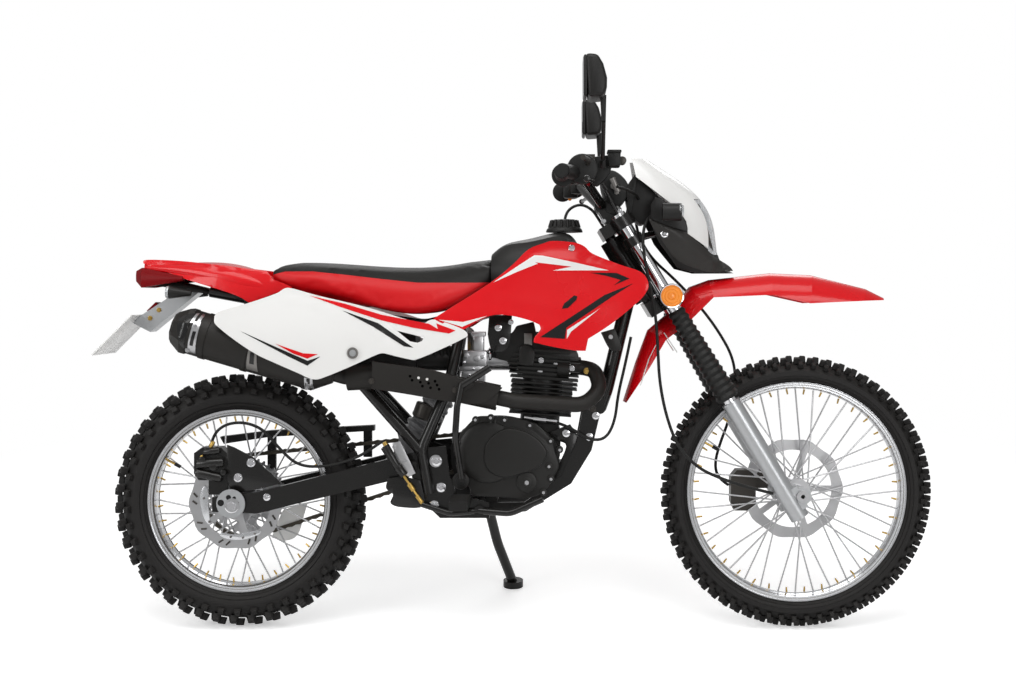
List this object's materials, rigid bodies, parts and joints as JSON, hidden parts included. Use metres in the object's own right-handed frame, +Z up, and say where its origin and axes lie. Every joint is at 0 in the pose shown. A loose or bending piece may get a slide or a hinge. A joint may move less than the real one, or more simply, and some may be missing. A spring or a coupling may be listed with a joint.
{
  "type": "dual sport motorcycle",
  "caption": "Dual sport motorcycle with spoked wheels, high fenders and a single-cylinder engine, leaning on its side stand.",
  "frame": {"origin": "on the ground, under the middle of the whole machine's box as it stands on its side stand", "axes": "+X forward, +Y to the rider's left, +Z up; the machine leans 9 degrees towards +Y"},
  "size_m": [2.1066, 0.876, 1.4297],
  "materials": {
    "frame_paint": "satin black enamel",
    "engine_black": "satin black heat-proof paint",
    "cast_alloy": "cast, lightly brushed",
    "swingarm_steel": "satin black",
    "rim_alloy": "anodised, satin",
    "bright_steel": "brushed",
    "chrome": "bright",
    "exhaust_steel": "satin, heat toned",
    "calliper_grey": "satin",
    "red_plastic": "moulded, gloss",
    "white_plastic": "moulded, gloss",
    "black_plastic": "moulded, fine grain",
    "tank_paint": "gloss black",
    "seat_vinyl": "grained vinyl",
    "lens_clear": "clear",
    "lens_red": "clear red",
    "lens_amber": "prismatic amber",
    "rubber": "matte",
    "tyre": "matte",
    "chain_steel": "oiled",
    "spring_grey": "satin",
    "plate_sheet": "plain, blank"
  },
  "bodies": {
    "chassis": {"main_frame": "frame_paint", "swingarm_pivot": "bright_steel", "engine_case": "engine_black", "engine_covers": "engine_black", "cylinder": "engine_black", "cylinder_head": "engine_black", "carburettor": "cast_alloy", "air_box": "black_plastic", "exhaust_pipe": "exhaust_steel", "muffler": "exhaust_steel", "heat_shield": "exhaust_steel", "tank_shrouds": "red_plastic", "side_panels": "white_plastic", "fuel_tank": "tank_paint", "fuel_cap": "black_plastic", "seat": "seat_vinyl", "tail_fairing": "red_plastic", "rear_fender": "black_plastic", "tail_light": "lens_red", "plate_bracket": "chrome", "number_plate": "plate_sheet", "swingarm": "swingarm_steel", "rear_axle": "bright_steel", "rear_caliper": "calliper_grey", "shock_absorber": "spring_grey", "foot_pegs": "black_plastic", "drive_sprocket": "bright_steel", "foot_controls": "frame_paint", "kick_starter": "chrome", "chain_guard": "black_plastic", "drive_chain": "chain_steel", "chassis_hoses": "rubber"},
    "fork": {"triple_clamps": "frame_paint", "fork_stanchions": "chrome", "fork_gaiters": "rubber", "fork_sliders": "cast_alloy", "front_axle": "bright_steel", "handlebar": "chrome", "grips": "rubber", "hand_controls": "calliper_grey", "mirrors": "black_plastic", "front_fender": "red_plastic", "headlight_mask": "white_plastic", "headlight_beak": "black_plastic", "headlight_lens": "lens_clear", "headlight_housing": "frame_paint", "front_indicators": "black_plastic", "side_reflectors": "lens_amber", "front_caliper": "calliper_grey", "fork_hoses": "rubber"},
    "front_wheel": {"front_tyre": "tyre", "front_rim": "rim_alloy", "front_hub": "cast_alloy", "front_disc": "bright_steel"},
    "rear_wheel": {"rear_tyre": "tyre", "rear_rim": "rim_alloy", "rear_hub": "cast_alloy", "rear_disc": "bright_steel", "rear_sprocket": "bright_steel"},
    "side_stand": {"side_stand": "frame_paint"}
  },
  "joints": [
    {"name": "steering", "type": "hinge", "parent": "chassis", "child": "fork", "pos_m": [0.35434, -0.08448, 0.78453], "axis": [-0.5166, 0.1341, 0.8456], "range_deg": [-38, 38]},
    {"name": "front_wheel_spin", "type": "hinge", "parent": "fork", "child": "front_wheel", "pos_m": [0.71133, -0.15503, 0.33976], "axis": [0.0003, 0.9877, -0.1564], "continuous": true},
    {"name": "rear_wheel_spin", "type": "hinge", "parent": "chassis", "child": "rear_wheel", "pos_m": [-0.70063, -0.15847, 0.31538], "axis": [0.0003, 0.9877, -0.1564], "continuous": true},
    {"name": "side_stand_fold", "type": "hinge", "parent": "chassis", "child": "side_stand", "pos_m": [-0.08456, -0.03322, 0.27949], "axis": [0.1602, 0.8959, 0.4143], "range_deg": [0, 92]}
  ]
}
